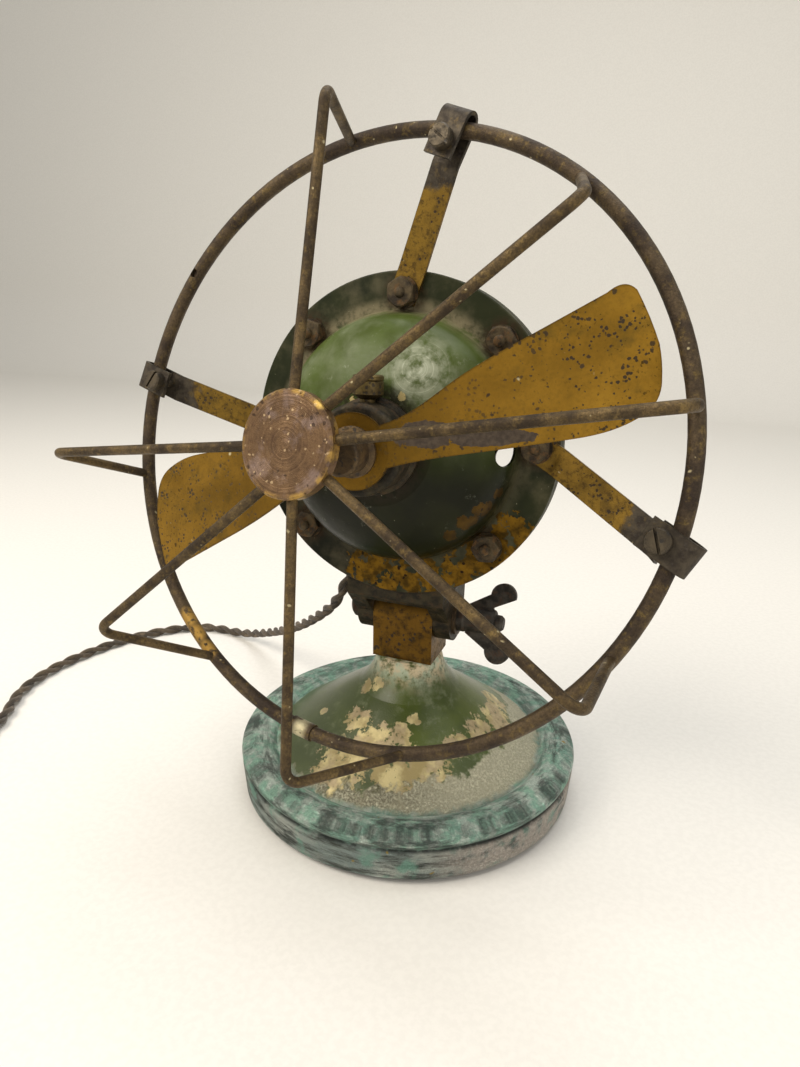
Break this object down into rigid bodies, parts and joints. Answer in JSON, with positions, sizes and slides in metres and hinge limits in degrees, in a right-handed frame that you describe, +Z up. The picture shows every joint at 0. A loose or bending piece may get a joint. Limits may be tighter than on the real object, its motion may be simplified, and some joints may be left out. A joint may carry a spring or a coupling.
{
  "type": "electric desk fan",
  "caption": "Antique electric desk fan: wire-guarded blade on a round motor that tilts on a clamped pivot above a heavy round base.",
  "frame": {"origin": "centre of the round base on the surface that the fan stands on", "axes": "+Z up, -Y the way the fan blows, +X to the right seen from behind"},
  "size_m": [0.491, 0.2405, 0.3126],
  "materials": {
    "green_paint": "worn gloss",
    "base_paint": "flaking paint over verdigris",
    "brass": "tarnished",
    "blade_brass": "satin, spotted",
    "dark_brass": "brown patina",
    "copper_disc": "turned, brown patina",
    "steel": "dark, rusted",
    "iron": "rough",
    "bronze": "plain",
    "copper_wire": "varnished",
    "carbon": "matte",
    "fibre": "matte",
    "cloth": "braided",
    "rubber": "matte",
    "bakelite": "satin"
  },
  "bodies": {
    "base": {"base_shell": "base_paint", "base_weight": "iron", "base_plate": "steel", "base_plate_screws": "steel", "base_feet": "rubber", "neck_block": "brass", "neck_stud": "steel", "neck_washer": "steel", "neck_nut": "steel", "cord_tube": "cloth", "cord_coil": "cloth", "cord_plug": "bakelite"},
    "rotor": {"shaft": "steel", "armature_core": "iron", "armature_windings": "copper_wire", "commutator": "bronze", "thrust_collars": "steel", "fan_blade": "blade_brass", "blade_hub": "steel", "hub_nut": "steel"},
    "clamp_washer": {"clamp_washer": "steel"},
    "wing_nut": {"wing_nut": "steel"},
    "brush_upper": {"brush_upper": "carbon"},
    "brush_lower": {"brush_lower": "carbon"},
    "head": {"brush_caps": "fibre", "brush_holders": "brass", "brush_spring_lower": "steel", "brush_spring_upper": "steel", "clamp_screws": "steel", "cord_gland": "bakelite", "field_coils": "copper_wire", "field_core": "iron", "front_bearing_boss": "iron", "front_bush": "bronze", "front_housing": "green_paint", "guard_disc": "copper_disc", "guard_ring": "dark_brass", "guard_spoke_bottom": "dark_brass", "guard_spoke_left": "dark_brass", "guard_spoke_lower_left": "dark_brass", "guard_spoke_lower_right": "dark_brass", "guard_spoke_right": "dark_brass", "guard_spoke_top": "dark_brass", "guard_spoke_upper_right": "dark_brass", "housing_nuts": "steel", "housing_studs": "steel", "housing_washers": "steel", "knuckle_bolt": "steel", "oil_cups": "brass", "rear_bearing_boss": "iron", "rear_bush": "bronze", "rear_housing": "green_paint", "strap_left": "brass", "strap_right": "brass", "strap_top": "brass", "terminal_block": "fibre", "yoke": "iron"}
  },
  "joints": [
    {"name": "head_tilt", "type": "hinge", "parent": "base", "child": "head", "pos_m": [0, 0, 0.093], "axis": [-1, 0, 0], "range_deg": [-10, 40], "deforming": ["cord_tube"]},
    {"name": "rotor_spin", "type": "hinge", "parent": "head", "child": "rotor", "pos_m": [0, -0.02095, 0.1825], "axis": [0, -0.9978, 0.067], "continuous": true},
    {"name": "clamp_washer_slide", "type": "slide", "parent": "head", "child": "clamp_washer", "axis": [1, 0, 0], "range_m": [0, 0.0014]},
    {"name": "wing_nut_turn", "type": "hinge", "parent": "clamp_washer", "child": "wing_nut", "pos_m": [0, 0, 0.093], "axis": [1, 0, 0], "range_deg": [0, 360]},
    {"name": "brush_upper_slide", "type": "slide", "parent": "head", "child": "brush_upper", "axis": [-0.7071, 0.0474, 0.7055], "range_m": [0, 0.005], "stiffness_N_per_m": 150, "springref_m": -0.004, "deforming": ["brush_spring_upper"]},
    {"name": "brush_lower_slide", "type": "slide", "parent": "head", "child": "brush_lower", "axis": [0.7071, -0.0474, -0.7055], "range_m": [0, 0.005], "stiffness_N_per_m": 150, "springref_m": -0.004, "deforming": ["brush_spring_lower"]}
  ],
  "couplings": [
    {"joint": "clamp_washer_slide", "follows": "wing_nut_turn", "m_per_rad": 0.00022282}
  ]
}
